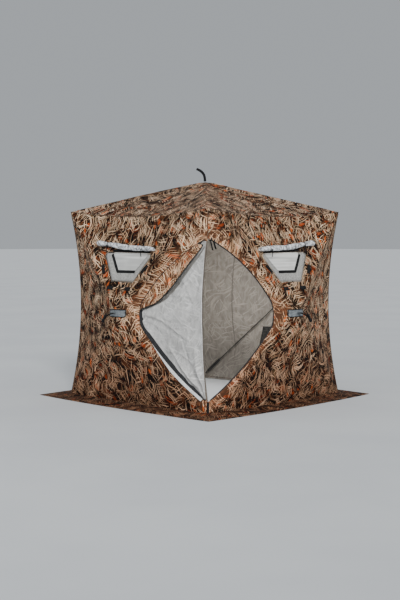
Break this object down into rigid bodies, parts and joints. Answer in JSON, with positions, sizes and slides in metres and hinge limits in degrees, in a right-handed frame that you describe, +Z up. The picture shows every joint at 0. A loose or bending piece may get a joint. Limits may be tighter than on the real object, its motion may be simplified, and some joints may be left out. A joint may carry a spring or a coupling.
{
  "type": "pop up ground blind",
  "caption": "Square pop-up hub blind with four cone-shaped camouflage walls, a hub roof, a snow skirt and a diamond door folded back across one corner.",
  "frame": {"origin": "middle of the floor area, on the ground", "axes": "+Z up; the front wall faces -Y, the right wall faces +X, and the door crosses the corner between them"},
  "size_m": [2.5776, 2.5776, 2.1573],
  "materials": {
    "camo_cloth": "printed quilted polyester",
    "flap_cloth": "pale grey lining",
    "film": "clear film",
    "window_cloth": "grey loop fabric",
    "cover_cloth": "white rolled cover",
    "webbing": "black polyester webbing",
    "zip": "black zip tape",
    "slider": "black lacquered zinc",
    "storm_cloth": "pale lining",
    "patch_cloth": "reflective grey",
    "hub_nylon": "moulded nylon",
    "fibreglass": "black fibreglass",
    "seat_rubber": "moulded rubber"
  },
  "bodies": {
    "root": {"roof": "camo_cloth", "front_wall": "camo_cloth", "right_wall": "camo_cloth", "back_wall": "camo_cloth", "left_wall": "camo_cloth", "skirt": "camo_cloth", "skirt_tabs": "webbing", "door_left_panel": "camo_cloth", "zip_tapes": "zip", "zip_sliders": "slider", "corner_seats": "seat_rubber", "front_window_border": "window_cloth", "front_window_pane": "film", "front_window_tape": "webbing", "front_window_cover_roll": "cover_cloth", "front_window_straps": "webbing", "right_window_border": "window_cloth", "right_window_pane": "film", "right_window_tape": "webbing", "right_window_cover_roll": "cover_cloth", "right_window_straps": "webbing"},
    "door_flap": {"door_flap": "flap_cloth", "flap_zip_tape": "zip", "flap_storm_strip": "storm_cloth", "flap_draught_strip": "camo_cloth"},
    "roof_hub": {"roof_hub": "hub_nylon", "roof_hub_patch": "camo_cloth", "roof_pull_strap": "webbing"},
    "roof_pole_back_right": {"roof_pole_back_right": "fibreglass"},
    "roof_pole_back_left": {"roof_pole_back_left": "fibreglass"},
    "roof_pole_front_left": {"roof_pole_front_left": "fibreglass"},
    "roof_pole_front_right": {"roof_pole_front_right": "fibreglass"},
    "front_hub": {"front_hub": "hub_nylon", "front_hub_patch": "patch_cloth", "front_pull_strap": "webbing"},
    "front_pole_upper_right": {"front_pole_upper_right": "fibreglass"},
    "front_pole_upper_left": {"front_pole_upper_left": "fibreglass"},
    "front_pole_lower_left": {"front_pole_lower_left": "fibreglass"},
    "front_pole_lower_right": {"front_pole_lower_right": "fibreglass"},
    "right_hub": {"right_hub": "hub_nylon", "right_hub_patch": "patch_cloth", "right_pull_strap": "webbing"},
    "right_pole_upper_right": {"right_pole_upper_right": "fibreglass"},
    "right_pole_upper_left": {"right_pole_upper_left": "fibreglass"},
    "right_pole_lower_left": {"right_pole_lower_left": "fibreglass"},
    "right_pole_lower_right": {"right_pole_lower_right": "fibreglass"},
    "back_hub": {"back_hub": "hub_nylon", "back_hub_patch": "patch_cloth", "back_pull_strap": "webbing"},
    "back_pole_upper_right": {"back_pole_upper_right": "fibreglass"},
    "back_pole_upper_left": {"back_pole_upper_left": "fibreglass"},
    "back_pole_lower_left": {"back_pole_lower_left": "fibreglass"},
    "back_pole_lower_right": {"back_pole_lower_right": "fibreglass"},
    "left_hub": {"left_hub": "hub_nylon", "left_hub_patch": "patch_cloth", "left_pull_strap": "webbing"},
    "left_pole_upper_right": {"left_pole_upper_right": "fibreglass"},
    "left_pole_upper_left": {"left_pole_upper_left": "fibreglass"},
    "left_pole_lower_left": {"left_pole_lower_left": "fibreglass"},
    "left_pole_lower_right": {"left_pole_lower_right": "fibreglass"}
  },
  "joints": [
    {"name": "door_flap_fold", "type": "hinge", "parent": "root", "child": "door_flap", "pos_m": [0.89578, -0.89578, 0.114], "axis": [-0.0129, 0.0129, 0.9998], "range_deg": [0, 237.41]},
    {"name": "roof_hub_slide", "type": "slide", "parent": "root", "child": "roof_hub", "axis": [0, 0, -1], "range_m": [0, 0.554], "deforming": ["roof_pull_strap"]},
    {"name": "roof_pole_back_right_hinge", "type": "hinge", "parent": "roof_hub", "child": "roof_pole_back_right", "pos_m": [0.02263, 0.02263, 1.992], "axis": [0.7071, -0.7071, 0], "range_deg": [-0.01, 25.92]},
    {"name": "roof_pole_back_left_hinge", "type": "hinge", "parent": "roof_hub", "child": "roof_pole_back_left", "pos_m": [-0.02263, 0.02263, 1.992], "axis": [0.7071, 0.7071, 0], "range_deg": [-0.01, 25.92]},
    {"name": "roof_pole_front_left_hinge", "type": "hinge", "parent": "roof_hub", "child": "roof_pole_front_left", "pos_m": [-0.02263, -0.02263, 1.992], "axis": [-0.7071, 0.7071, 0], "range_deg": [-0.01, 25.92]},
    {"name": "roof_pole_front_right_hinge", "type": "hinge", "parent": "roof_hub", "child": "roof_pole_front_right", "pos_m": [0.02263, -0.02263, 1.992], "axis": [-0.7071, -0.7071, 0], "range_deg": [-0.01, 25.92]},
    {"name": "front_hub_slide", "type": "slide", "parent": "root", "child": "front_hub", "axis": [0, 1, 0], "range_m": [0, 0.456], "deforming": ["front_pull_strap"]},
    {"name": "front_pole_upper_right_hinge", "type": "hinge", "parent": "front_hub", "child": "front_pole_upper_right", "pos_m": [0.02261, -1.102, 0.86264], "axis": [0.7075, 0, -0.7067], "range_deg": [-0.01, 21.44]},
    {"name": "front_pole_upper_left_hinge", "type": "hinge", "parent": "front_hub", "child": "front_pole_upper_left", "pos_m": [-0.02261, -1.102, 0.86264], "axis": [0.7075, 0, 0.7067], "range_deg": [-0.01, 21.44]},
    {"name": "front_pole_lower_left_hinge", "type": "hinge", "parent": "front_hub", "child": "front_pole_lower_left", "pos_m": [-0.02346, -1.102, 0.81823], "axis": [-0.6802, 0, 0.733], "range_deg": [-0.01, 22.24]},
    {"name": "front_pole_lower_right_hinge", "type": "hinge", "parent": "front_hub", "child": "front_pole_lower_right", "pos_m": [0.02346, -1.102, 0.81823], "axis": [-0.6802, 0, -0.733], "range_deg": [-0.01, 22.24]},
    {"name": "right_hub_slide", "type": "slide", "parent": "root", "child": "right_hub", "axis": [-1, 0, 0], "range_m": [0, 0.456], "deforming": ["right_pull_strap"]},
    {"name": "right_pole_upper_right_hinge", "type": "hinge", "parent": "right_hub", "child": "right_pole_upper_right", "pos_m": [1.102, 0.02261, 0.86264], "axis": [0, 0.7075, -0.7067], "range_deg": [-0.01, 21.44]},
    {"name": "right_pole_upper_left_hinge", "type": "hinge", "parent": "right_hub", "child": "right_pole_upper_left", "pos_m": [1.102, -0.02261, 0.86264], "axis": [0, 0.7075, 0.7067], "range_deg": [-0.01, 21.44]},
    {"name": "right_pole_lower_left_hinge", "type": "hinge", "parent": "right_hub", "child": "right_pole_lower_left", "pos_m": [1.102, -0.02346, 0.81823], "axis": [0, -0.6802, 0.733], "range_deg": [-0.01, 22.24]},
    {"name": "right_pole_lower_right_hinge", "type": "hinge", "parent": "right_hub", "child": "right_pole_lower_right", "pos_m": [1.102, 0.02346, 0.81823], "axis": [0, -0.6802, -0.733], "range_deg": [-0.01, 22.24]},
    {"name": "back_hub_slide", "type": "slide", "parent": "root", "child": "back_hub", "axis": [0, -1, 0], "range_m": [0, 0.456], "deforming": ["back_pull_strap"]},
    {"name": "back_pole_upper_right_hinge", "type": "hinge", "parent": "back_hub", "child": "back_pole_upper_right", "pos_m": [-0.02261, 1.102, 0.86264], "axis": [-0.7075, 0, -0.7067], "range_deg": [-0.01, 21.44]},
    {"name": "back_pole_upper_left_hinge", "type": "hinge", "parent": "back_hub", "child": "back_pole_upper_left", "pos_m": [0.02261, 1.102, 0.86264], "axis": [-0.7075, 0, 0.7067], "range_deg": [-0.01, 21.44]},
    {"name": "back_pole_lower_left_hinge", "type": "hinge", "parent": "back_hub", "child": "back_pole_lower_left", "pos_m": [0.02346, 1.102, 0.81823], "axis": [0.6802, 0, 0.733], "range_deg": [-0.01, 22.24]},
    {"name": "back_pole_lower_right_hinge", "type": "hinge", "parent": "back_hub", "child": "back_pole_lower_right", "pos_m": [-0.02346, 1.102, 0.81823], "axis": [0.6802, 0, -0.733], "range_deg": [-0.01, 22.24]},
    {"name": "left_hub_slide", "type": "slide", "parent": "root", "child": "left_hub", "axis": [1, 0, 0], "range_m": [0, 0.456], "deforming": ["left_pull_strap"]},
    {"name": "left_pole_upper_right_hinge", "type": "hinge", "parent": "left_hub", "child": "left_pole_upper_right", "pos_m": [-1.102, -0.02261, 0.86264], "axis": [0, -0.7075, -0.7067], "range_deg": [-0.01, 21.44]},
    {"name": "left_pole_upper_left_hinge", "type": "hinge", "parent": "left_hub", "child": "left_pole_upper_left", "pos_m": [-1.102, 0.02261, 0.86264], "axis": [0, -0.7075, 0.7067], "range_deg": [-0.01, 21.44]},
    {"name": "left_pole_lower_left_hinge", "type": "hinge", "parent": "left_hub", "child": "left_pole_lower_left", "pos_m": [-1.102, 0.02346, 0.81823], "axis": [0, 0.6802, 0.733], "range_deg": [-0.01, 22.24]},
    {"name": "left_pole_lower_right_hinge", "type": "hinge", "parent": "left_hub", "child": "left_pole_lower_right", "pos_m": [-1.102, -0.02346, 0.81823], "axis": [0, 0.6802, -0.733], "range_deg": [-0.01, 22.24]}
  ],
  "couplings": [
    {"joint": "roof_pole_back_right_hinge", "follows": "roof_hub_slide", "rad_per_m": 0.81634},
    {"joint": "roof_pole_back_left_hinge", "follows": "roof_hub_slide", "rad_per_m": 0.81634},
    {"joint": "roof_pole_front_left_hinge", "follows": "roof_hub_slide", "rad_per_m": 0.81634},
    {"joint": "roof_pole_front_right_hinge", "follows": "roof_hub_slide", "rad_per_m": 0.81634},
    {"joint": "front_pole_upper_right_hinge", "follows": "front_hub_slide", "rad_per_m": 0.82036},
    {"joint": "front_pole_upper_left_hinge", "follows": "front_hub_slide", "rad_per_m": 0.82036},
    {"joint": "front_pole_lower_left_hinge", "follows": "front_hub_slide", "rad_per_m": 0.851},
    {"joint": "front_pole_lower_right_hinge", "follows": "front_hub_slide", "rad_per_m": 0.851},
    {"joint": "right_pole_upper_right_hinge", "follows": "right_hub_slide", "rad_per_m": 0.82036},
    {"joint": "right_pole_upper_left_hinge", "follows": "right_hub_slide", "rad_per_m": 0.82036},
    {"joint": "right_pole_lower_left_hinge", "follows": "right_hub_slide", "rad_per_m": 0.851},
    {"joint": "right_pole_lower_right_hinge", "follows": "right_hub_slide", "rad_per_m": 0.851},
    {"joint": "back_pole_upper_right_hinge", "follows": "back_hub_slide", "rad_per_m": 0.82036},
    {"joint": "back_pole_upper_left_hinge", "follows": "back_hub_slide", "rad_per_m": 0.82036},
    {"joint": "back_pole_lower_left_hinge", "follows": "back_hub_slide", "rad_per_m": 0.851},
    {"joint": "back_pole_lower_right_hinge", "follows": "back_hub_slide", "rad_per_m": 0.851},
    {"joint": "left_pole_upper_right_hinge", "follows": "left_hub_slide", "rad_per_m": 0.82036},
    {"joint": "left_pole_upper_left_hinge", "follows": "left_hub_slide", "rad_per_m": 0.82036},
    {"joint": "left_pole_lower_left_hinge", "follows": "left_hub_slide", "rad_per_m": 0.851},
    {"joint": "left_pole_lower_right_hinge", "follows": "left_hub_slide", "rad_per_m": 0.851}
  ]
}
